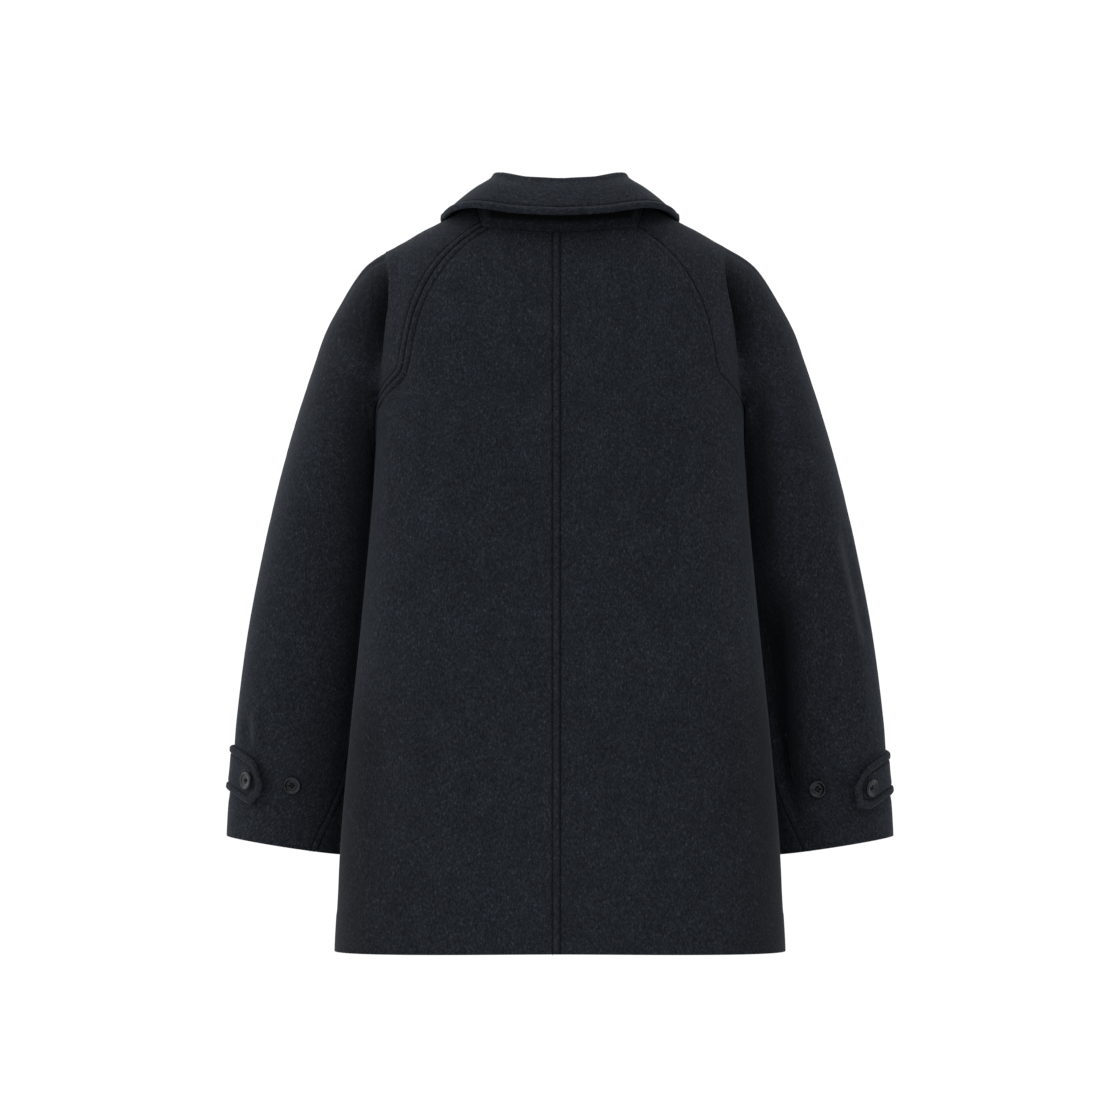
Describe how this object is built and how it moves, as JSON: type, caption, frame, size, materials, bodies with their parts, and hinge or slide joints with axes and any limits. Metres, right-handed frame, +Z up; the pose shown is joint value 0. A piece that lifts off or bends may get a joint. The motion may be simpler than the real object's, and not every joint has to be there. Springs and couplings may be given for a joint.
{
  "type": "balmacaan coat",
  "caption": "Short charcoal wool raglan coat with a turn-down collar and buttoned cuff tabs, filled out as worn and empty inside.",
  "frame": {"origin": "middle of the neck opening, on the coat's centre plane, level with the neck seam at the centre back", "axes": "+Z up, -Y towards the coat's front, +X towards the wearer's left"},
  "size_m": [0.7534, 0.2526, 0.8636],
  "materials": {
    "wool_coating": "heavy melange wool, brushed, matt with a soft nap",
    "horn_button": "dark grey horn-effect button, semi-gloss"
  },
  "bodies": {
    "root": {"back_left": "wool_coating", "front_left": "wool_coating", "sleeve_back_left": "wool_coating", "sleeve_front_left": "wool_coating", "back_right": "wool_coating", "front_right": "wool_coating", "sleeve_back_right": "wool_coating", "sleeve_front_right": "wool_coating", "collar": "wool_coating", "cuff_tab_left": "wool_coating", "cuff_tab_right": "wool_coating", "button_tab_left": "horn_button", "button_sleeve_left": "horn_button", "button_tab_right": "horn_button", "button_sleeve_right": "horn_button", "button_front_1": "horn_button", "button_front_2": "horn_button", "button_front_3": "horn_button", "button_front_4": "horn_button"}
  },
  "joints": []
}
